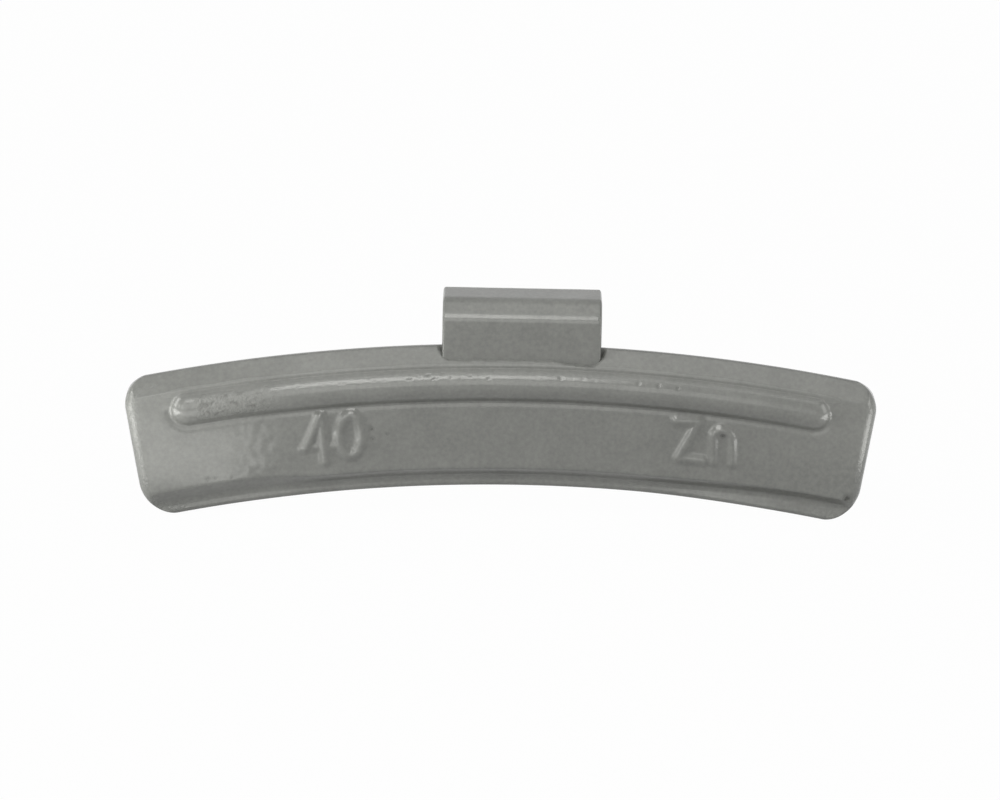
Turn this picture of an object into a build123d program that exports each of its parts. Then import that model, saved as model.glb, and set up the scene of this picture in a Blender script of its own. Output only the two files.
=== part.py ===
from build123d import *

import math
import os

# Clip-on wheel balance weight: a zinc bar, cast to the curve of the rim, with a hook of spring
# steel cast into its top edge. Sizes are in millimetres and angles in degrees.
#
# X runs along the bar, Z points away from the wheel's axis, and the ribbed face looks to -Y.
# The origin is the seat of the rim flange: under the hook, half way across its slot.

# The rim that the weight hooks over
rim_edge_radius = 220.0  # from the wheel's axis to the flange's edge, on a 16 inch wheel
slot_width = 5.0  # room for the flange, from the bar's back to the hook's leg

# The bar
bar_length = 89.9
bar_thickness = 3.75  # from the back to the plain face
bar_height = 17.4
bar_drop = 4.3  # from the flange's edge down to the bar's ridge
end_slant = 9.5  # lean of each end face from the vertical
top_corner_round = 3.6
bottom_corner_round = 4.5
end_round = 1.5  # from the plain face into the ends
back_round = 0.4

# The sloped band along the top, and the ridge above it
band_height = 2.05
band_depth = 1.9
crease_round = 0.25
ridge_land = 0.35  # width that the ridge keeps between the band and the rounded back
ridge_round = 0.4

# The lip along the bottom, which leans out of the valley, and the slanted wall down to it
lip_height = 1.4
lip_set_back = 1.5  # from the plain face to the foot of the lip
valley_set_back = 1.9
wall_height = 1.9
wall_round = 1.0
valley_round = 0.4
lip_round = 0.5

# The rib, a low round bead with domed ends
rib_inset = 5.55  # from each end of the bar to the end of the rib
rib_width = 3.95
rib_height = 1.15
rib_below_crease = 0.35
rib_foot_round = 0.25
rib_root = 0.5  # depth of the rib's root in the bar

# The clip, one bent strip
clip_width = 19.0
clip_thickness = 1.2
clip_offset = 2.5  # along the rim, from the middle of the bar
clip_set_back = 0.8  # from the plain face to the front of the strip
clip_root = 9.0  # depth of the strip in the bar
shoulder_rise = 1.56  # height of the 45 degree shoulder, on the strip's middle line
shoulder_round = 1.2
shoulder_top_round = 1.0
hook_inner_round = 1.2
leg_drop = 7.5
leg_lean = 3.0  # towards the bar, so that the hook grips
leg_foot_round = 2.5
tip_length = 2.2
tip_flare = 35.0
tip_corner_round = 2.0
lock_hole_radius = 2.5
lock_hole_rise = 4.0  # from the strip's end to the hole's centre

# The pocket in the band, round the foot of the clip
pocket_cover = 0.25  # width of strip that stays covered at each side, at the pocket's floor line
pocket_sink = 0.3  # from where the band meets the strip down to the pocket's ledge
pocket_floor_step = 0.1  # from the pocket's floor to the back of the strip

# Room that keeps cutting shapes off the faces that they don't cut
margin = 0.05
overrun = 2.0

# Levels that follow from the sizes above
back_y = -slot_width / 2
face_y = back_y - bar_thickness
ridge_y = face_y + band_depth
lip_y = face_y + lip_set_back
valley_y = face_y + valley_set_back
strip_y = face_y + clip_set_back + clip_thickness / 2
leg_y = slot_width / 2 + clip_thickness / 2

ridge_z = -bar_drop
bottom_z = ridge_z - bar_height
crease_z = ridge_z - band_height
valley_z = bottom_z + lip_height
wall_z = valley_z + wall_height
strip_top_z = clip_thickness / 2
root_z = ridge_z - clip_root

wheel_axis = Axis((0, 0, -rim_edge_radius), (0, 1, 0))


def plane_at(y):
    """The X-Z plane at a given depth, looking towards the ribbed face."""
    return Plane.XZ.offset(-y)


def along_rim(profile, half_angle):
    """Turn a profile of the Y-Z plane about the wheel's axis, as far to each side."""
    start = profile.rotate(wheel_axis, -half_angle)
    return revolve(start, wheel_axis, 2 * half_angle)


def make_bar():
    """The bar's section, swept along the rim well past both ends."""
    corners = [
        ((back_y, bottom_z), back_round),
        ((lip_y, bottom_z), lip_round),
        ((valley_y, valley_z), valley_round),
        ((face_y, wall_z), wall_round),
        ((face_y, crease_z), crease_round),
        ((ridge_y, ridge_z), ridge_round),
        ((back_y, ridge_z), bar_thickness - band_depth - ridge_land),
    ]
    points = [point for point, _ in corners]
    rounds = [radius for _, radius in corners]
    section = make_face(FilletPolyline(*points, radius=rounds, close=True))
    reach = (bar_length / 2 + overrun) / (rim_edge_radius + bottom_z)
    return along_rim(Plane.YZ * section, math.degrees(math.asin(reach)))


def end_face_x(z, outer_radius):
    """Where the right end face lies at a height. The rounded top corner reaches the full length."""
    corner_x = bar_length / 2 - top_corner_round
    corner_z = math.sqrt((outer_radius - top_corner_round) ** 2 - corner_x**2) - rim_edge_radius
    slant = math.radians(end_slant)
    return corner_x + (top_corner_round + (z - corner_z) * math.sin(slant)) / math.cos(slant)


def make_plan_block():
    """A block with the bar's front outline, rounded into the ends, a margin larger than the section."""
    outer_radius = rim_edge_radius + ridge_z + margin
    inner_radius = rim_edge_radius + bottom_z - margin
    high = ridge_z + overrun
    low = bottom_z - bar_length / 4
    high_x = end_face_x(high, outer_radius)
    low_x = end_face_x(low, outer_radius)
    ring = Pos(0, -rim_edge_radius) * (Circle(outer_radius) - Circle(inner_radius))
    wedge = make_face(Polyline((-high_x, high), (high_x, high), (low_x, low), (-low_x, low), close=True))
    outline = ring & wedge
    outline = fillet(outline.vertices().group_by(Axis.Y)[0], bottom_corner_round)
    outline = fillet(outline.vertices().group_by(Axis.Y)[-1], top_corner_round)
    block = extrude(plane_at(back_y + margin) * outline, bar_thickness + 2 * margin)
    block = fillet(block.faces().sort_by(Axis.Y)[0].edges(), end_round)
    return fillet(block.faces().sort_by(Axis.Y)[-1].edges(), back_round)


def rib_section():
    """Half-round section of the rib on a sunk root: X is depth behind the face, Y is across the rib."""
    round_radius = (rib_width**2 / 4 + rib_height**2) / (2 * rib_height)
    bead = Pos(round_radius - rib_height, 0) * Circle(round_radius)
    root_width = rib_width + 2 * rib_foot_round
    root = Pos(margin, 0) * Rectangle(rib_root, root_width, align=(Align.MIN, Align.CENTER))
    front = Pos(margin + rib_root, 0) * Rectangle(rib_width, root_width, align=(Align.MAX, Align.CENTER))
    section = (bead & front) + root
    at_root = section.vertices().group_by(Axis.X)[-2]
    return fillet(at_root.sort_by(lambda corner: abs(corner.Y))[:2], rib_foot_round)


def make_rib():
    """The rib along the rim, with its own section turned into a dome at each end."""
    centre_z = crease_z - rib_below_crease - rib_width / 2
    dome_x = bar_length / 2 - rib_inset - rib_width / 2
    half_angle = math.degrees(math.asin(dome_x / (rim_edge_radius + centre_z)))
    section = rib_section()
    upper_half = section & Rectangle(rib_width, rib_width, align=(Align.CENTER, Align.MIN))
    place = Plane.YZ * Pos(face_y, centre_z)
    dome = revolve(place * upper_half, Axis((0, 0, centre_z), (0, 1, 0)), 180)
    right_dome = dome.rotate(wheel_axis, half_angle)
    return along_rim(place * section, half_angle) + [right_dome, mirror(right_dome, Plane.YZ)]


def make_clip():
    """The strip, bent up, over the flange and down behind it, with a lock hole in its root."""
    lean = math.radians(leg_lean)
    flare = math.radians(tip_flare)
    foot = Vector(leg_y - leg_drop * math.tan(lean), strip_top_z - leg_drop)
    tip = foot + Vector(math.sin(flare), -math.cos(flare)) * tip_length
    path = FilletPolyline(
        (strip_y, root_z),
        (strip_y, strip_top_z - shoulder_rise),
        (strip_y + shoulder_rise, strip_top_z),
        (leg_y, strip_top_z),
        foot,
        tip,
        radius=[shoulder_round, shoulder_top_round, hook_inner_round + clip_thickness / 2, leg_foot_round],
    )
    strip = extrude(Plane.YZ * trace(path, clip_thickness), clip_width / 2, both=True)
    tip_face = strip.faces().sort_by_distance((0, tip.X, tip.Y))[0]
    strip = fillet(tip_face.edges().sort_by(SortBy.LENGTH)[:2], tip_corner_round)
    hole = plane_at(strip_y) * Pos(0, root_z + lock_hole_rise) * Circle(lock_hole_radius)
    strip -= extrude(hole, clip_thickness, both=True)
    return at_clip(strip)


def at_clip(shape):
    """Move a shape from the middle of the bar along the rim to the clip's place."""
    return shape.rotate(wheel_axis, math.degrees(clip_offset / rim_edge_radius))


def make_pocket():
    """The notch that bares the foot of the clip, wider towards the ridge."""
    ledge_z = crease_z + clip_set_back * band_height / band_depth - pocket_sink
    low_x = clip_width / 2 - pocket_cover
    high_z = ridge_z + overrun
    high_x = low_x + high_z - ledge_z
    corners = [(-low_x, ledge_z), (low_x, ledge_z), (high_x, high_z), (-high_x, high_z)]
    outline = make_face(Polyline(*corners, close=True))
    floor_y = strip_y + clip_thickness / 2 - pocket_floor_step
    return at_clip(extrude(plane_at(floor_y) * outline, floor_y - face_y + overrun))


def make_body(clip):
    """The bar with its ends, rib and pocket, cast round the clip."""
    bar = make_bar() & make_plan_block()
    return bar + make_rib() - make_pocket() - clip


steel_clip = make_clip()
weight_body = make_body(steel_clip)

os.makedirs("parts", exist_ok=True)
export_step(weight_body, "parts/weight_body.step")
export_step(steel_clip, "parts/steel_clip.step")
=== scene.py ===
import math

import bpy
import numpy as np
from mathutils import Matrix, Vector, noise


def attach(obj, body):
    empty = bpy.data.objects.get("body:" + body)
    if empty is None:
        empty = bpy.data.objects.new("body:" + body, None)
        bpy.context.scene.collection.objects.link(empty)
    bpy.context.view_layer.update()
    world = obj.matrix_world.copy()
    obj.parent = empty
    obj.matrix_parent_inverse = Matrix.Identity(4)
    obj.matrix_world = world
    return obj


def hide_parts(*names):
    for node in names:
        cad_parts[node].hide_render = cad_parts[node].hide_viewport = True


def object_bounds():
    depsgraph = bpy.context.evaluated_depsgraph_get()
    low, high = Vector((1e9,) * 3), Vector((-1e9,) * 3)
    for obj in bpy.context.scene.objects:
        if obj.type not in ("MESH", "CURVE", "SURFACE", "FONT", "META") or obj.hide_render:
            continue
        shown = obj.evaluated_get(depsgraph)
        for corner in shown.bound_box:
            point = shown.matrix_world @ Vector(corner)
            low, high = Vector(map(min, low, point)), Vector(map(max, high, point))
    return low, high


# A clip-on wheel balance weight: a coated zinc bar with a raised rib, and a steel clip cast into it.
# Shapes are worked out in millimetres and stored in metres. An arc place is (s, d): s is the length along
# the rim, and d is the distance from the flange seat, positive away from the wheel's axis.

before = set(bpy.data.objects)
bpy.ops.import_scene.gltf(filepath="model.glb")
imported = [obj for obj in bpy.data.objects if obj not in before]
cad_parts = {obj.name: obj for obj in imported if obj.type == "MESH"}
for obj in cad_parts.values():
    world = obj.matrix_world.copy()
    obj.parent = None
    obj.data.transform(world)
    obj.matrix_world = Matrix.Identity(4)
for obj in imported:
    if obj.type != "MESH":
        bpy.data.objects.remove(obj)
cad_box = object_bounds()

MM = 0.001
RIM = 220.0  # radius of the flange seat
FAR = 9.0  # stands for a distance or a depth beyond all those near it

# The bar's section: depths along y, and levels along d
BACK_Y = -2.5
FACE_Y = -6.25
RIDGE_Y = -4.35
VALLEY_Y = -4.7
LIP_Y = -4.85
RIDGE_D = -4.3
CREASE_D = RIDGE_D - 2.05
BOTTOM_D = RIDGE_D - 17.4
VALLEY_D = BOTTOM_D + 1.4
WALL_D = VALLEY_D + 1.9
LIP_UNDER = 0.5  # run from the lip towards the back
RIDGE_TOP = 0.18  # run from the ridge towards the back
SECTION_ROUNDS = [0.495, 1.25, 0.75, 0.25, 0.4]  # at the lip, valley, wall, crease and ridge
SECTION_STEP = 0.165
CLIMB_S = 14.0  # from here to the right the valley climbs and the lip leans out
VALLEY_FILL = 0.07

# The bar's outline from the front, and the rounding of its ends and back
BAR_HALF = 44.95
END_SLANT = math.radians(9.5)
END_ZONE = 8.5  # how far in from the ends the distance to the outline is worked out
TOP_CORNER = 3.6
BOTTOM_CORNER = 4.5
END_ROUND = 1.8
OUTLINE_MARGIN = 0.05
BACK_ROUND = 0.4
RIDGE_EXTRA_ROUND = 1.1  # added to the back's rounding along the ridge
COLUMNS = 520

RIB_WIDTH = 3.95
RIB_HEIGHT = 1.15
RIB_D = CREASE_D - 0.35 - RIB_WIDTH / 2
RIB_DOME_X = BAR_HALF - 5.55 - RIB_WIDTH / 2
RIB_GROOVE = 0.15  # depth of the groove along its lower foot

# The clip, whose path is given in y and z before it is turned to its place on the arc
CLIP_S = 2.5
CLIP_HALF = 9.5
CLIP_THICK = 1.2
CLIP_ROUNDS = [0.65, 1.0, 1.0, 1.8, 2.5]  # at the shoulder's two bends, the top's two and the flare
CLIP_STEP = 0.2
STRIP_Y = -4.85
STRIP_START = -9.7  # inside the bar
STRIP_EDGE = 0.3  # reach of the rounding at the strip's long edges
SLOT_HALF = 2.5
SHOULDER = 1.56
SHOULDER_LOW = 0.15
SHOULDER_CUT = 0.28
LEG_DROP = 7.5
LEG_LEAN = math.radians(3.0)
TIP_LENGTH = 2.2
TIP_FLARE = math.radians(35)
TIP_CORNER = 2.0
TIP_BLUNT = 0.35  # length over which the tip's edge is rounded
TIP_THIN = 0.35  # share of the thickness that is left at the tip's edge
POCKET_D = -5.74  # level of the pocket's lower edge

COAT_DARK = (0.143, 0.146, 0.139)
COAT_PALE = (0.181, 0.184, 0.175)
# Dark colour that is mixed in for darker pits and spots, and as painted shade in the pocket's corners
# beside the clip
DIRT_AND_SHADE = (0.035, 0.035, 0.031, 1.0)
FLOOR_HALF = 6.0  # metres
FLOOR_GREY = 0.42
FLOOR_WHITE = 0.98  # share of plain white where the floor is seen
SKY_LOW = 0.06
SKY_HIGH = 0.30
LAMP_COLOUR = (1.0, 1.0, 0.965)
MIDDLE = (0.0, -0.005, -0.012)
TABLE = cad_box[0][2] + 0.0004  # just above the floor
UP = 1.0

# Soft boxes, in metres: name, place, aim, size, brightness, and whether they show in reflections
LAMPS = [
    ("crest", (-0.0465, -0.27, 0.265), MIDDLE, (0.171, 0.14), 6.2, True),
    ("above", (0.03, -0.15, 0.36), MIDDLE, (0.30, 0.16), 1.2, True),
    ("left_soft", (-0.45, -0.10, 0.20), MIDDLE, (0.15, 0.42), 6.6, True),
    ("left_strip", (-0.41, -0.29, 0.07), MIDDLE, (0.075, 0.22), 4.0, True),
    ("left_narrow", (-0.275, -0.415, 0.08), MIDDLE, (0.07, 0.26), 6.2, True),
    ("front", (-0.07, -0.48, 0.10), MIDDLE, (0.34, 0.26), 1.75, True),
    ("right_soft", (0.44, -0.15, 0.16), MIDDLE, (0.18, 0.36), 3.0, True),
    ("back_fill", (0.0, 0.50, 0.07), MIDDLE, (0.70, 0.24), 2.6, False),
    # Patches of the white table, which light the bar from below
    ("table_left", (-0.0475, -0.035, TABLE), (-0.0475, -0.035, UP), (0.033, 0.034), 2.1, True),
    ("table_end", (-0.093, -0.0175, TABLE - 0.0001), (-0.093, -0.0175, UP), (0.074, 0.025), 7.0, True),
    ("table_right", (0.089, -0.0175, TABLE), (0.089, -0.0175, UP), (0.064, 0.025), 5.0, True),
]


def smooth_step(t):
    """From 0 to 1 while t goes from 0 to 1, level at both ends."""
    t = np.clip(t, 0.0, 1.0)
    return t * t * (3.0 - 2.0 * t)


def between(values, low, high, low_fade, high_fade):
    """1 well inside a range and 0 outside it, rising over a length of its own at each end."""
    return smooth_step((values - low) / low_fade) * smooth_step((high - values) / high_fade)


def bell(t):
    """1 at 0, and close to 0 from about 2 on either side."""
    return np.exp(-t * t)


def soft_max(a, b, k):
    """The larger of two surfaces, with a fillet where they are within k of each other."""
    h = np.maximum(k - np.abs(a - b), 0.0) / k
    return np.maximum(a, b) + h * h * k / 4.0


def soft_min(a, b, k):
    """The smaller of two surfaces, with the same fillet."""
    return -soft_max(-a, -b, k)


def straight(a, b, step):
    """Places from a up to, and without, b."""
    count = max(1, int(round(float(np.linalg.norm(b - a)) / step)))
    return [a + (b - a) * k / count for k in range(count)]


def rounded(points, radii, step):
    """Places along a line of straight runs whose inner corners are rounded, about step apart."""
    points = [np.array(p, float) for p in points]
    run_start = points[0]
    line = []
    for before, corner, after, radius in zip(points, points[1:], points[2:], radii):
        a = (before - corner) / np.linalg.norm(before - corner)
        b = (after - corner) / np.linalg.norm(after - corner)
        half = math.acos(max(-1.0, min(1.0, float(a @ b)))) / 2
        length = radius / math.tan(half)
        start = corner + a * length
        end = corner + b * length
        middle = (a + b) / np.linalg.norm(a + b)
        centre = corner + middle * radius / math.sin(half)
        line += straight(run_start, start, step)
        turn = math.pi - 2 * half
        count = max(5, int(radius * turn / (step * 0.5)))
        for k in range(count):
            t = k / count
            start_share = math.sin((1 - t) * turn) / math.sin(turn)
            end_share = math.sin(t * turn) / math.sin(turn)
            line.append(centre + (start - centre) * start_share + (end - centre) * end_share)
        run_start = end
    line += straight(run_start, points[-1], step)
    line.append(points[-1])
    return np.array(line)


def corner_arc(x, z, radius, start, end):
    """Places along a rounded corner, from one angle to the other."""
    steps = 199
    angles = [start + (end - start) * k / steps for k in range(steps + 1)]
    return [(x + radius * math.cos(a), z + radius * math.sin(a)) for a in angles]


def end_outline():
    """The right end of the bar seen from the front, from the top arc to the bottom arc, as x and z."""
    outer = RIM + RIDGE_D + OUTLINE_MARGIN
    inner = RIM + BOTTOM_D - OUTLINE_MARGIN
    top_x = BAR_HALF - TOP_CORNER
    top_z = math.sqrt((outer - TOP_CORNER) ** 2 - top_x**2)
    sin, cos = math.sin(END_SLANT), math.cos(END_SLANT)

    # Halving finds the bottom corner's centre, one radius from the end's line and from the bottom arc
    low, high = inner - 8.0, top_z
    for _ in range(60):
        bottom_z = (low + high) / 2
        line_x = top_x + (TOP_CORNER + (bottom_z - top_z) * sin) / cos
        bottom_x = line_x - BOTTOM_CORNER / cos
        if math.hypot(bottom_x, bottom_z) > inner + BOTTOM_CORNER:
            high = bottom_z
        else:
            low = bottom_z
    start = math.atan2(top_z, top_x)
    end = -math.pi + math.atan2(bottom_z, bottom_x)
    out = corner_arc(top_x, top_z, TOP_CORNER, start, -END_SLANT)
    out += corner_arc(bottom_x, bottom_z, BOTTOM_CORNER, -END_SLANT, end)
    return np.array(out) - np.array([0.0, RIM])


def distance_to_line(px, py, line):
    """Distance of each point from a line of straight runs."""
    best = np.full(px.shape, 1e9)
    for (ax, ay), (bx, by) in zip(line, line[1:]):
        dx, dy = bx - ax, by - ay
        length = dx * dx + dy * dy
        t = np.clip(((px - ax) * dx + (py - ay) * dy) / length, 0.0, 1.0) if length > 0 else 0.0
        best = np.minimum(best, np.hypot(px - ax - t * dx, py - ay - t * dy))
    return best


def ellipse(cs, cd, rs, rd, lean):
    """The numeral 0: a closed ring with its sides leaning."""
    steps = 40
    line = []
    for k in range(steps + 1):
        a = 2 * math.pi * k / steps
        s = rs * math.cos(a)
        d = rd * math.sin(a)
        line.append((cs + s - lean * d, cd + d))
    return line


def arch(left, right, low, high, round_d):
    """The letter n: two stems joined by a round top, with the end of the left stem below it."""
    stem_gap, foot_s, foot_d = 0.8, 0.08, 0.1
    steps = 12
    line = [(left, low), (left, high - stem_gap)]
    middle = (left + right) / 2
    half = (right - left) / 2
    for k in range(steps + 1):
        a = math.pi - math.pi * k / steps
        line.append((middle + half * math.cos(a), high - round_d + round_d * math.sin(a)))
    line.append((right + foot_s, low + foot_d))
    return line


# Cast marks, each stroke with its width and height: the grams as a number, and the metal's symbol
STROKES = [
    ([(-23.28, -15.38), (-21.66, -11.75)], 1.0, 0.46),
    ([(-23.60, -15.43), (-19.67, -15.61)], 0.80, 0.20),
    ([(-21.51, -11.80), (-20.90, -17.28)], 1.10, 0.36),
    (ellipse(-17.9, -14.37, 1.36, 2.50, 0.03), 1.10, 0.40),
    ([(21.04, -11.98), (23.75, -11.82), (21.30, -16.55), (24.36, -16.5)], 1.0, 0.32),
    (arch(25.5, 27.77, -16.45, -12.40, 1.1), 0.85, 0.44),
]
STROKE_EDGE = 0.9
STROKES_D = -14.2  # middle of the line of marks

# Single casting faults: place, radius and depth, with a raised spot where the depth is negative
FAULTS = [
    (-15.39, -13.80, 0.26, 0.07),
    (-15.24, -15.04, 0.30, 0.05),
    (-13.45, -14.49, 0.25, 0.05),
    (26.64, -13.16, 0.28, 0.09),
    (-35.2, -17.72, 0.35, 0.03),
    (-34.3, -17.82, 0.25, 0.03),
    (-32.3, -18.02, 0.30, 0.03),
    (42.0, -18.22, 0.45, 0.25),
    (41.75, -18.42, 0.28, 0.15),
    (13.09, -13.07, 0.24, -0.05),
    (7.25, -15.12, 0.24, -0.05),
    (16.4, -7.55, 0.24, 0.04),
    (18.8, -7.65, 0.26, 0.05),
    (21.1, -7.70, 0.26, 0.05),
]
FAULT_STEEPNESS = 1.26
FAULT_DARKENING = 9  # share of darkening for each millimetre of depth


def make_mesh(name, verts, faces, marks, flat_faces=0):
    """A smooth mesh with its last faces flat, kept inside the CAD model's box."""
    low, high = np.array(cad_box[0]), np.array(cad_box[1])
    mesh = bpy.data.meshes.new(name)
    mesh.from_pydata(np.clip(np.asarray(verts) * MM, low, high).tolist(), [], faces)
    smooth_faces = len(faces) - flat_faces
    mesh.polygons.foreach_set("use_smooth", [True] * smooth_faces + [False] * flat_faces)
    mesh.validate()
    for key, values in marks.items():
        attribute = mesh.attributes.new(key, "FLOAT", "POINT")
        attribute.data.foreach_set("value", np.asarray(values, np.float32))
    mesh.update()
    piece = bpy.data.objects.new(name, mesh)
    bpy.context.scene.collection.objects.link(piece)
    return piece


def wave(points, scale, seed):
    """Smooth noise at each place, about -1 to 1. The scale is one number or one for each axis."""
    shift = np.array([seed * 17.3, seed * 5.1, seed * 9.7])
    at = np.asarray(points) * scale + shift
    return np.array([noise.noise(Vector(p)) for p in at])


def flat_places(s, d):
    """Arc places as a list of points, for the noise."""
    return np.stack([s.ravel(), d.ravel(), np.zeros(s.size)], 1)


def section_level(s, d):
    """The level in the section for each place: the casting's valley climbs towards the right end."""
    right_climb = smooth_step((s - CLIMB_S) / 27.0)
    left_climb = smooth_step((-20.0 - s) / 10.0)
    lip_top = BOTTOM_D + 0.45
    valley = BOTTOM_D + 1.3 + 0.15 * left_climb + 0.75 * right_climb
    wall = BOTTOM_D + 2.65 + 0.65 * left_climb + 0.6 * right_climb
    plain_face = WALL_D + 2.0
    marks = [
        (np.full(s.shape, lip_top), lip_top),
        (valley, VALLEY_D),
        (wall, WALL_D),
        (np.full(s.shape, plain_face), plain_face),
    ]
    level = d.copy()
    for (low, low_level), (high, high_level) in zip(marks, marks[1:]):
        part = (d >= low) & (d < high)
        level[part] = (low_level + (d - low) * (high_level - low_level) / (high - low))[part]
    return level


def lip_lean(s, d, level):
    """How far the valley and the lip stand forward, most at the right end."""
    right_lean = 0.30 * smooth_step((s - CLIMB_S) / 20.0)
    left_lean = 0.05 * smooth_step((-15.0 - s) / 15.0)
    lip = 0.06 + left_lean + right_lean
    return right_lean * smooth_step((WALL_D - d) / 1.6) + lip * smooth_step((VALLEY_D - level) / 1.0)


def end_rounding(inside):
    """Depth of the rounding from the face into the ends, for a distance inside the outline."""
    lost = END_ROUND - np.minimum(inside, END_ROUND)
    return FACE_Y - OUTLINE_MARGIN + END_ROUND - np.sqrt(END_ROUND**2 - lost**2)


def add_rib(y, x, z, d):
    """The rib, and the shallow groove round its lower foot."""
    rib_radius = (RIB_WIDTH**2 / 4 + RIB_HEIGHT**2) / (2 * RIB_HEIGHT)
    dome_z = math.sqrt((RIM + RIB_D) ** 2 - RIB_DOME_X**2) - RIM
    straight_part = np.abs(np.arctan2(x, z + RIM)) <= math.atan2(RIB_DOME_X, dome_z + RIM)
    off = np.where(straight_part, np.abs(d - RIB_D), np.hypot(np.abs(x) - RIB_DOME_X, z - dome_z))
    lower = smooth_step((RIB_D + 0.9 - d) / 1.0)
    groove = RIB_GROOVE * bell((off - RIB_WIDTH / 2 - 0.05) / 0.55) * lower
    drop = np.sqrt(np.maximum(rib_radius**2 - off**2, 0.0))
    rib = np.where(off < rib_radius, FACE_Y + rib_radius - RIB_HEIGHT - drop, FAR)
    foot_fillet = 0.10 + 0.22 * lower
    return soft_min(y + groove, rib, foot_fillet)


def add_letters(y, s, d):
    """The cast marks, raised with soft edges."""
    room, half_line = 2.0, 5.0
    lift = np.zeros(y.shape)
    for line, width, height in STROKES:
        ends = [p[0] for p in line]
        part = (s > min(ends) - room) & (s < max(ends) + room) & (np.abs(d - STROKES_D) < half_line)
        reach = distance_to_line(s[part], d[part], line)
        share = smooth_step((width / 2 + STROKE_EDGE / 2 - reach) / STROKE_EDGE)
        lift[part] = np.maximum(lift[part], height * share)
    return y - lift


def add_faults(y, dirt_and_shade, s, d):
    """The single faults, with the hollow ones coloured darker the deeper they are."""
    for at, level, radius, deep in FAULTS:
        part = (np.abs(s - at) < 3 * radius) & (np.abs(d - level) < 3 * radius)
        dent = bell(FAULT_STEEPNESS * np.hypot(s[part] - at, d[part] - level) / radius)
        y[part] += deep * dent
        if deep > 0:
            dirt_and_shade[part] = np.maximum(dirt_and_shade[part], dent * min(1.0, deep * FAULT_DARKENING))


def add_bead_pits(y, dirt_and_shade, s, d):
    """Uneven pitting along the upper side of the rib, densest below the clip's left edge."""
    line = 0.55 * between(s, -28.0, 14.0, 4.0, 4.0) + 0.45 * bell((s + 7.0) / 6.0)
    line = line * bell((d - RIB_D - 1.2) / 0.42)
    zone = line > 0.05
    at = flat_places(s[zone], d[zone])
    noisy = wave(at, np.array([1.5, 2.6, 1.0]), 3) + 0.5 * wave(at, np.array([2.6, 3.4, 1.0]), 4)
    deep = line[zone] * smooth_step((noisy - 0.22) / 0.35)
    y[zone] += 0.08 * deep
    dirt_and_shade[zone] = np.maximum(dirt_and_shade[zone], 0.6 * smooth_step((deep - 0.25) / 0.6))


def sandy_part(s, d):
    """Where the rib is as rough as sand: its left part, beside the dome."""
    return between(s, -37.0, -24.5, 1.5, 7.0) * smooth_step((1.7 - np.abs(d - RIB_D)) / 0.7)


def add_sand_spots(dirt_and_shade, s, d):
    """Small dark pits on the sandy part of the rib."""
    part = sandy_part(s, d)
    zone = part > 0.05
    spots = smooth_step((wave(flat_places(s[zone], d[zone]), 1.9, 8) - 0.18) / 0.4)
    dirt_and_shade[zone] = np.maximum(dirt_and_shade[zone], 0.42 * part[zone] * spots)


def add_coat_marks(y, s, d):
    """Low unevenness of the coating: sags and a run at the left, and fine lines above the rib."""
    face = between(d, WALL_D + 0.5, -9.9, 0.6, 0.6)
    sag = face * between(s, -33.0, -25.5, 2.5, 2.5)
    wrinkle = wave(flat_places(s, d), np.array([1.1, 0.8, 1.0]), 7).reshape(s.shape)
    y += 0.045 * sag * wrinkle
    run_s, run_d, run_slant = -27.7, -17.2, 0.45
    run = bell(np.hypot((s - run_s + run_slant * (d - run_d)) / 0.9, (d - run_d) / 1.0))
    y -= 0.085 * face * run
    lines = between(s, 14.0, 38.0, 6.0, 8.0) * bell((d - CREASE_D + 0.15) / 0.6)
    y += 0.007 * lines * np.sin(d * 14.0 + 0.8 * np.sin(s * 0.13))


def bare_pocket(y, dirt_and_shade, s, d):
    """The pocket where the clip leaves the bar, lower at the right where the metal ran short, with painted
    shade in its corners beside the clip.
    """
    t = s - CLIP_S
    ledge = POCKET_D - 0.45 * smooth_step((t - 3.4) / 4.0)
    ledge += 0.025 * np.sin(t * 2.1)
    ledge += 0.02 * np.sin(t * 5.3 + 1.0)
    ledge += 0.9 * smooth_step((t - 8.3) / 1.5) + 0.5 * smooth_step((-8.5 - t) / 1.2)
    left_side = 0.84 * np.maximum(d + 5.1, 0.0)
    right_side = 0.05 + 0.45 * np.maximum(d + 5.5, 0.0)
    side = CLIP_HALF + np.where(t < 0, left_side, right_side)
    bare = smooth_step((d - ledge) / 0.16 + 0.5) * smooth_step((side - np.abs(t)) / 0.2 + 0.5)
    y[:] = np.where(bare > 0, np.maximum(y, y + (RIDGE_Y - y) * bare), y)
    # Painted shade: the pocket's corners beside the clip are coloured dark, where shade falls between clip
    # and bar
    corner = bare * smooth_step((np.abs(t) - CLIP_HALF + 0.3) / 0.3)
    dirt_and_shade[:] = np.maximum(dirt_and_shade, 0.55 * corner)


def rough_parts(s, d, inside):
    """Where the coating is as rough as sand, and where it is duller."""
    rough_end = smooth_step((2.0 - inside) / 1.4) * np.where(s < 0, 0.8, 0.3)
    rough_end *= smooth_step((CREASE_D + 2.0 - d) / 2.4)
    sand = np.maximum(sandy_part(s, d), rough_end)
    crease = bell((d - CREASE_D + 0.22) / 0.32) * smooth_step((42.0 - np.abs(s)) / 5.0)
    return sand, 0.5 * crease + 0.15 * sand


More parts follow.
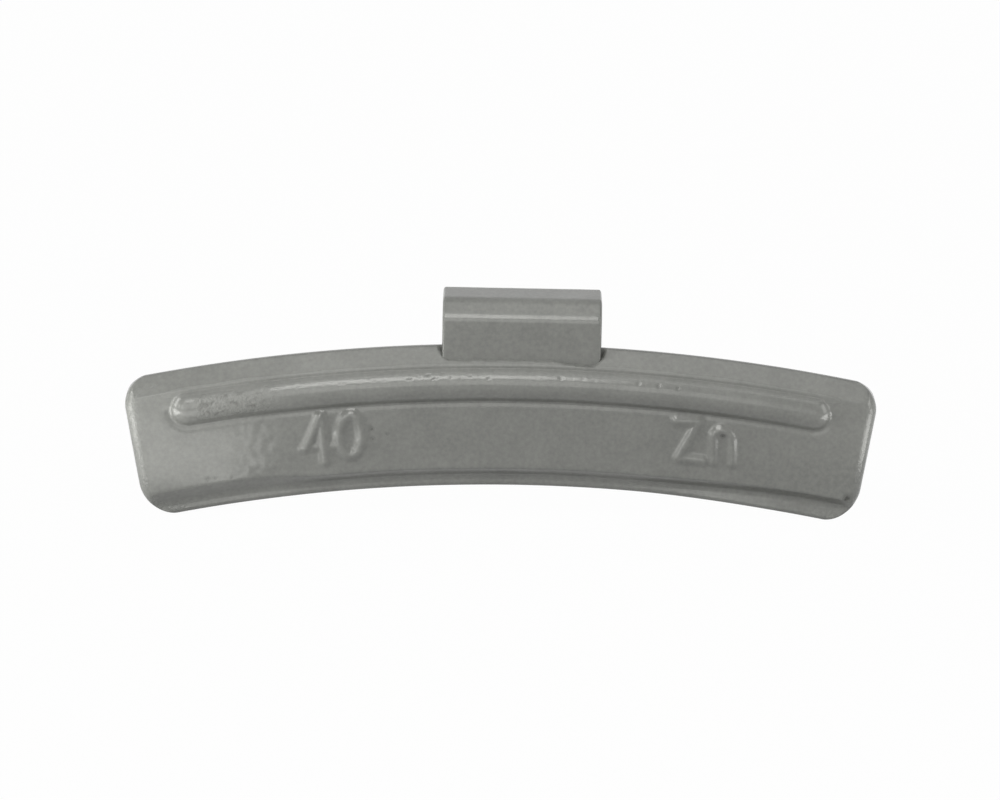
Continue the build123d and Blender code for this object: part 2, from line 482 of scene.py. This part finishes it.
def front_section():
    """The bar's front from the bottom to the ridge, as depths at rising levels."""
    corners = [
        (LIP_Y + LIP_UNDER, BOTTOM_D),
        (LIP_Y, BOTTOM_D),
        (VALLEY_Y, VALLEY_D),
        (FACE_Y, WALL_D),
        (FACE_Y, CREASE_D),
        (RIDGE_Y, RIDGE_D),
        (RIDGE_Y + RIDGE_TOP, RIDGE_D),
    ]
    front = rounded(corners, SECTION_ROUNDS, SECTION_STEP)
    keep = [0]
    for i in range(1, len(front)):
        if front[i, 1] > front[keep[-1], 1] + 1e-5:
            keep.append(i)
    front = front[keep]
    closer = np.arange(CREASE_D - 0.8, CREASE_D + 0.2, 0.06)
    levels = np.unique(np.concatenate([front[:, 1], closer]))
    return np.interp(levels, front[:, 1], front[:, 0]), levels


def face_places(levels, outline):
    """Places over the bar's front: a row at each level, with its columns closer together at the ends."""
    radius = np.hypot(outline[:, 0], outline[:, 1] + RIM)
    angle = np.arctan2(outline[:, 0], outline[:, 1] + RIM)
    order = np.argsort(radius)
    row_radius = RIM + levels
    row_angle = np.interp(row_radius, radius[order], angle[order])
    end_steps = END_ROUND * (1 - np.cos(np.radians(np.arange(0, 91, 10))))
    inner_columns = COLUMNS - 2 * (len(end_steps) - 1)
    s_rows, x_rows, z_rows = [], [], []
    for reach, turn in zip(row_radius, row_angle):
        half = turn * reach
        inner = np.linspace(-half + END_ROUND, half - END_ROUND, inner_columns)
        s = np.concatenate([-half + end_steps[:-1], inner, half - end_steps[-2::-1]])
        s_rows.append(s)
        x_rows.append(reach * np.sin(s / reach))
        z_rows.append(reach * np.cos(s / reach) - RIM)
    return np.array(s_rows), np.array(x_rows), np.array(z_rows)


def even_out(values, gaps, reach):
    """Running mean of values round a closed line. The gaps are the lengths from each place to the next."""
    ends = np.append(0.0, np.cumsum(gaps))
    step = 0.05
    fine = np.arange(0.0, ends[-1], step)
    spread = int(reach / step)
    even = np.interp(fine, ends, np.append(values, values[0]))
    even = np.concatenate([even[-spread:], even, even[:spread]])
    even = np.convolve(even, np.full(2 * spread + 1, 1 / (2 * spread + 1)), "valid")
    return np.interp(ends[:-1], fine, even, period=ends[-1])


def side_rings(edge):
    """Rings behind the front's edge, straight back and then round into the flat back.

    Each ring comes with the share of the edge's marks that it keeps.
    """
    evening, least_side = 1.2, 0.01
    run = np.roll(edge, -1, 0)[:, [0, 2]] - np.roll(edge, 1, 0)[:, [0, 2]]
    run /= np.linalg.norm(run, axis=1)[:, None]
    gaps = np.linalg.norm(np.roll(edge, -1, 0) - edge, axis=1)
    inward = np.stack([even_out(-run[:, 1], gaps, evening), even_out(run[:, 0], gaps, evening)], 1)
    edge_d = np.hypot(edge[:, 0], edge[:, 2] + RIM) - RIM
    back_round = BACK_ROUND + RIDGE_EXTRA_ROUND * smooth_step((edge_d - RIDGE_D + 1.6) / 1.6)
    start_y = edge[:, 1]
    stop_y = np.maximum(BACK_Y - back_round, start_y + least_side)
    rings = []
    for t in np.linspace(0, 1, 6)[1:]:
        ring = edge.copy()
        ring[:, 1] = start_y + (stop_y - start_y) * t
        rings.append((ring, 1.0 - t))
    for a in np.radians(np.linspace(0, 90, 8)[1:]):
        ring = edge.copy()
        ring[:, 1] = stop_y + (BACK_Y - stop_y) * math.sin(a)
        ring[:, [0, 2]] += inward * (back_round * (1 - math.cos(a)))[:, None]
        rings.append((ring, 0.0))
    return rings


def back_faces(last, rows):
    """The flat back: upright strips from the bottom run to the top run, and one face at each end."""
    top_right = COLUMNS + rows - 2
    top_left = top_right + COLUMNS - 1
    bottom_run = last[:COLUMNS]
    top_run = last[top_right : top_left + 1][::-1]
    back = np.stack([bottom_run[:-1], top_run[:-1], top_run[1:], bottom_run[1:]], -1).tolist()
    back.append(last[COLUMNS - 1 : top_right + 1][::-1].tolist())
    back.append(np.append(last[top_left:], last[0])[::-1].tolist())
    return back


def make_body():
    """The bar: a relief over its front, sides that follow its outline, and a flat back."""
    depths, levels = front_section()
    rows = len(levels)
    outline = end_outline()
    s, x, z = face_places(levels, outline)
    d = np.repeat(levels[:, None], COLUMNS, 1)
    inside = np.full(x.shape, FAR)
    near_end = np.abs(x) > BAR_HALF - END_ZONE
    inside[near_end] = distance_to_line(np.abs(x[near_end]), z[near_end], outline)

    level = section_level(s, d)
    y = np.interp(level, levels, depths) - VALLEY_FILL * bell((level - VALLEY_D) / 0.5)
    y = soft_max(y, end_rounding(inside), 0.2)
    y = add_rib(y, x, z, d)
    y -= lip_lean(s, d, level)
    y = add_letters(y, s, d)
    dirt_and_shade = np.zeros(x.shape)
    add_faults(y, dirt_and_shade, s, d)
    add_bead_pits(y, dirt_and_shade, s, d)
    add_sand_spots(dirt_and_shade, s, d)
    add_coat_marks(y, s, d)
    bare_pocket(y, dirt_and_shade, s, d)
    sand, dull = rough_parts(s, d, inside)

    front = np.stack([x, y, z], -1).reshape(-1, 3)
    sway = 0.020 * wave(front, 0.16, 1) + 0.008 * wave(front, 0.45, 2)
    front[:, 1] += sway * smooth_step(inside / 2.0).ravel()
    number = np.arange(rows * COLUMNS).reshape(rows, COLUMNS)
    cells = [number[:-1, :-1], number[:-1, 1:], number[1:, 1:], number[1:, :-1]]
    faces = np.stack(cells, -1).reshape(-1, 4).tolist()

    loop = np.concatenate([number[0, :], number[1:, -1], number[-1, -2::-1], number[-2:0:-1, 0]])
    rings = side_rings(front[loop])
    last = loop
    for k in range(len(rings)):
        index = np.arange(len(loop)) + number.size + k * len(loop)
        faces += np.stack([last, index, np.roll(index, -1), np.roll(last, -1)], -1).tolist()
        last = index
    back = back_faces(last, rows)
    faces += back

    verts = np.concatenate([front] + [ring for ring, _ in rings])
    marks = {}
    for key, values in (("dirt_and_shade", dirt_and_shade), ("dull", dull), ("sand", sand)):
        front_marks = values.ravel()
        marks[key] = np.concatenate([front_marks] + [front_marks[loop] * share for _, share in rings])
    return make_mesh("coated_bar", verts, faces, marks, len(back))


def strip_ring():
    """Places round the strip's section: across one side, round an edge, back across, round the other edge.

    Each has its kind, its place across the width and its place through the thickness, from -1 to 1.
    """
    ring = []
    for side in (1, -1):
        ring += [("flat", w, side) for w in np.linspace(-1, 1, 75) * side]
        ring += [("edge", side, side * math.cos(a)) for a in np.radians(np.linspace(0, 180, 11)[1:-1])]
    return ring


def clip_path():
    """The middle of the strip in y and z, from inside the bar over the hook to the tip."""
    half_thick = CLIP_THICK / 2
    leg_y = SLOT_HALF + half_thick
    shoulder_z = half_thick - SHOULDER
    foot = np.array([leg_y - LEG_DROP * math.tan(LEG_LEAN), half_thick - LEG_DROP])
    tip = foot + TIP_LENGTH * np.array([math.sin(TIP_FLARE), -math.cos(TIP_FLARE)])
    bends = [
        (STRIP_Y, STRIP_START),
        (STRIP_Y, shoulder_z - SHOULDER_LOW),
        (STRIP_Y + SHOULDER_CUT, shoulder_z + SHOULDER_CUT),
        (STRIP_Y + SHOULDER, half_thick),
        (leg_y, half_thick),
        foot,
        tip,
    ]
    return rounded(bends, CLIP_ROUNDS, CLIP_STEP)


def make_clip():
    """The clip: the strip's section carried along its bent path, with a rounded tip."""
    path = clip_path()
    along = np.concatenate([[0.0], np.cumsum(np.linalg.norm(np.diff(path, axis=0), axis=1))])
    left = along[-1] - along
    tangent = np.gradient(path, axis=0)
    tangent /= np.linalg.norm(tangent, axis=1)[:, None]
    outward = np.stack([-tangent[:, 1], tangent[:, 0]], 1)

    ring = strip_ring()
    verts = []
    for p, n, rest in zip(path, outward, left):
        lost = TIP_CORNER - min(rest, TIP_CORNER)
        half = CLIP_HALF - TIP_CORNER + math.sqrt(max(TIP_CORNER**2 - lost * lost, 0.0))
        blunt = math.sqrt(max(1 - (1 - min(rest / TIP_BLUNT, 1.0)) ** 2, 0.0))
        thick = CLIP_THICK / 2 * (TIP_THIN + (1 - TIP_THIN) * blunt)
        for kind, w, h in ring:
            reach = half - STRIP_EDGE
            if kind == "edge":
                reach += STRIP_EDGE * math.sqrt(max(1 - h * h, 0.0))
            verts.append((w * reach, p[0] + n[0] * thick * h, p[1] + n[1] * thick * h))
    verts = np.array(verts)
    sway = 0.012 * wave(verts, 0.30, 5) + 0.006 * wave(verts, 0.9, 6)
    verts[:, 2] += sway * smooth_step((verts[:, 2] + 4.0) / 2.0)

    turn = CLIP_S / RIM
    x, z = verts[:, 0].copy(), verts[:, 2] + RIM
    verts[:, 0] = x * math.cos(turn) + z * math.sin(turn)
    verts[:, 2] = z * math.cos(turn) - x * math.sin(turn) - RIM
    number = np.arange(len(verts)).reshape(-1, len(ring))
    around = np.roll(number, -1, 1)
    faces = np.stack([number[:-1], around[:-1], around[1:], number[1:]], -1).reshape(-1, 4).tolist()
    faces.append(number[0][::-1].tolist())
    faces.append(number[-1].tolist())
    plain = np.zeros(len(verts))
    return make_mesh("coated_clip", verts, faces, {"dirt_and_shade": plain, "dull": plain, "sand": plain})


def make_coat(name, peel, grain, rough):
    """Grey coating, slightly uneven in tone and gloss, with a fine orange peel, darker pits and spots, and
    painted shade in the pocket's corners beside the clip.
    """
    material = bpy.data.materials.new(name)
    material.use_nodes = True
    nodes, links = material.node_tree.nodes, material.node_tree.links
    shader = nodes["Principled BSDF"]
    place = nodes.new("ShaderNodeTexCoord")

    def noise_node(scale, detail, roughness):
        node = nodes.new("ShaderNodeTexNoise")
        node.inputs["Scale"].default_value = scale
        node.inputs["Detail"].default_value = detail
        node.inputs["Roughness"].default_value = roughness
        links.new(place.outputs["Object"], node.inputs["Vector"])
        return node.outputs["Fac"]

    def ramp_node(source, low_at, low_colour, high_at, high_colour):
        node = nodes.new("ShaderNodeValToRGB")
        low, high = node.color_ramp.elements
        low.position, high.position = low_at, high_at
        low.color, high.color = (*low_colour, 1.0), (*high_colour, 1.0)
        links.new(source, node.inputs["Fac"])
        return node.outputs["Color"]

    def math_node(operation, a, b):
        node = nodes.new("ShaderNodeMath")
        node.operation = operation
        for socket, value in zip(node.inputs, (a, b)):
            if isinstance(value, (int, float)):
                socket.default_value = value
            else:
                links.new(value, socket)
        return node.outputs[0]

    def mark_node(key):
        node = nodes.new("ShaderNodeAttribute")
        node.attribute_name = key
        return node.outputs["Fac"]

    broad_mottle = math_node("MULTIPLY", noise_node(scale=170, detail=4, roughness=0.6), 0.5)
    fine_mottle = math_node("MULTIPLY", noise_node(scale=1900, detail=2, roughness=0.6), 0.5)
    mottle = math_node("ADD", broad_mottle, fine_mottle)
    tone = ramp_node(mottle, 0.36, COAT_DARK, 0.64, COAT_PALE)
    # Darker pits and spots, and painted shade in the pocket's corners beside the clip
    darkening = mark_node("dirt_and_shade")
    mix = nodes.new("ShaderNodeMix")
    mix.data_type = "RGBA"
    mix.inputs["B"].default_value = DIRT_AND_SHADE
    links.new(darkening, mix.inputs["Factor"])
    links.new(tone, mix.inputs["A"])
    links.new(mix.outputs["Result"], shader.inputs["Base Color"])

    patches = noise_node(scale=260, detail=3, roughness=0.5)
    gloss = ramp_node(patches, 0.3, [rough - 0.04] * 3, 0.7, [rough + 0.06] * 3)
    matt = math_node("ADD", math_node("MULTIPLY", darkening, 0.35), mark_node("dull"))
    links.new(math_node("ADD", gloss, matt), shader.inputs["Roughness"])

    waves = math_node("MULTIPLY", noise_node(scale=620, detail=2, roughness=0.5), peel)
    sandy = math_node("ADD", math_node("MULTIPLY", mark_node("sand"), 0.15), grain)
    fine = math_node("MULTIPLY", noise_node(scale=2600, detail=2, roughness=0.6), sandy)
    bump = nodes.new("ShaderNodeBump")
    bump.inputs["Strength"].default_value = 1.0
    bump.inputs["Distance"].default_value = MM
    links.new(math_node("ADD", waves, fine), bump.inputs["Height"])
    links.new(bump.outputs["Normal"], shader.inputs["Normal"])
    shader.inputs["Specular IOR Level"].default_value = 0.5
    return material


def shown_rays(nodes, links):
    """1 for rays of the camera, reflections and light through glass, and 0 for light on the object."""
    path = nodes.new("ShaderNodeLightPath")
    seen = nodes.new("ShaderNodeMath")
    seen.operation = "MAXIMUM"
    links.new(path.outputs["Is Camera Ray"], seen.inputs[0])
    links.new(path.outputs["Is Glossy Ray"], seen.inputs[1])
    through = nodes.new("ShaderNodeMath")
    through.operation = "MAXIMUM"
    links.new(seen.outputs[0], through.inputs[0])
    links.new(path.outputs["Is Transmission Ray"], through.inputs[1])
    return through.outputs[0]


def make_floor():
    """A white floor that shows as white and keeps the object's shadow."""
    level = cad_box[0][2]
    corners = [(x * FLOOR_HALF, y * FLOOR_HALF, level) for x, y in ((-1, -1), (1, -1), (1, 1), (-1, 1))]
    mesh = bpy.data.meshes.new("floor")
    mesh.from_pydata(corners, [], [(0, 1, 2, 3)])
    floor = bpy.data.objects.new("floor", mesh)
    bpy.context.scene.collection.objects.link(floor)
    material = bpy.data.materials.new("floor_white")
    material.use_nodes = True
    nodes, links = material.node_tree.nodes, material.node_tree.links
    nodes.clear()
    share = nodes.new("ShaderNodeMath")
    share.operation = "MULTIPLY"
    share.inputs[1].default_value = FLOOR_WHITE
    links.new(shown_rays(nodes, links), share.inputs[0])
    matt = nodes.new("ShaderNodeBsdfDiffuse")
    matt.inputs["Color"].default_value = (FLOOR_GREY, FLOOR_GREY, FLOOR_GREY, 1.0)
    glow = nodes.new("ShaderNodeEmission")
    mix = nodes.new("ShaderNodeMixShader")
    out = nodes.new("ShaderNodeOutputMaterial")
    links.new(share.outputs[0], mix.inputs[0])
    links.new(matt.outputs[0], mix.inputs[1])
    links.new(glow.outputs[0], mix.inputs[2])
    links.new(mix.outputs[0], out.inputs["Surface"])
    mesh.materials.append(material)


def make_world():
    """White to the camera and in reflections; softer, and brighter from above, as light."""
    world = bpy.data.worlds.new("studio")
    bpy.context.scene.world = world
    world.use_nodes = True
    nodes, links = world.node_tree.nodes, world.node_tree.links
    nodes.clear()
    place = nodes.new("ShaderNodeTexCoord")
    split = nodes.new("ShaderNodeSeparateXYZ")
    links.new(place.outputs["Generated"], split.inputs[0])
    ramp = nodes.new("ShaderNodeValToRGB")
    low, high = ramp.color_ramp.elements
    low.position, high.position = 0.0, 0.9
    low.color = (SKY_LOW, SKY_LOW, SKY_LOW, 1.0)
    high.color = (SKY_HIGH, SKY_HIGH, SKY_HIGH, 1.0)
    links.new(split.outputs["Z"], ramp.inputs["Fac"])
    light = nodes.new("ShaderNodeBackground")
    light.inputs["Strength"].default_value = 1.0
    links.new(ramp.outputs["Color"], light.inputs["Color"])
    white = nodes.new("ShaderNodeBackground")
    mix = nodes.new("ShaderNodeMixShader")
    out = nodes.new("ShaderNodeOutputWorld")
    links.new(shown_rays(nodes, links), mix.inputs[0])
    links.new(light.outputs[0], mix.inputs[1])
    links.new(white.outputs[0], mix.inputs[2])
    links.new(mix.outputs[0], out.inputs["Surface"])


def make_lamp(name, place, aim, size, radiance, in_reflections):
    """A soft box of a given size in metres, hidden from the camera."""
    light = bpy.data.lights.new(name, "AREA")
    light.shape = "RECTANGLE"
    light.size, light.size_y = size
    light.energy = math.pi * size[0] * size[1] * radiance
    light.color = LAMP_COLOUR
    lamp = bpy.data.objects.new(name, light)
    bpy.context.scene.collection.objects.link(lamp)
    lamp.location = place
    lamp.rotation_euler = (Vector(aim) - Vector(place)).to_track_quat("-Z", "Y").to_euler()
    lamp.visible_camera = False
    lamp.visible_glossy = in_reflections


def make_camera():
    """The photograph's view: 16 degrees above the bar's face, with a slight roll."""
    elevation, roll = math.radians(16.0), math.radians(0.478)
    distance, pixels_per_mm = 600.0, 8.383
    sensor, picture_width = 36.0, 1000.0
    target = Vector((-0.0819, -6.2, -10.5981))
    back = Vector((0.0, -math.cos(elevation), math.sin(elevation)))
    right = Vector((1.0, 0.0, 0.0))
    up = back.cross(right)
    across = right * math.cos(roll) + up * math.sin(roll)
    upward = up * math.cos(roll) - right * math.sin(roll)
    eye = (target + back * distance) * MM
    data = bpy.data.cameras.new("camera")
    data.sensor_fit = "HORIZONTAL"
    data.sensor_width = sensor
    data.lens = sensor * distance * pixels_per_mm / picture_width
    data.clip_start, data.clip_end = 0.01, 50.0
    camera = bpy.data.objects.new("camera", data)
    bpy.context.scene.collection.objects.link(camera)
    turn = Matrix((across, upward, back)).transposed()
    camera.matrix_world = Matrix.Translation(eye) @ turn.to_4x4()
    bpy.context.scene.camera = camera


bar = make_body()
bar.data.materials.append(make_coat("bar_coat", peel=0.018, grain=0.0022, rough=0.185))
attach(bar, "root")
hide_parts("weight_body")

clip = make_clip()
clip.data.materials.append(make_coat("clip_coat", peel=0.012, grain=0.0022, rough=0.21))
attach(clip, "root")
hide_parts("steel_clip")

make_floor()
make_world()
for lamp in LAMPS:
    make_lamp(*lamp)
make_camera()
bpy.context.scene.view_settings.view_transform = "Standard"
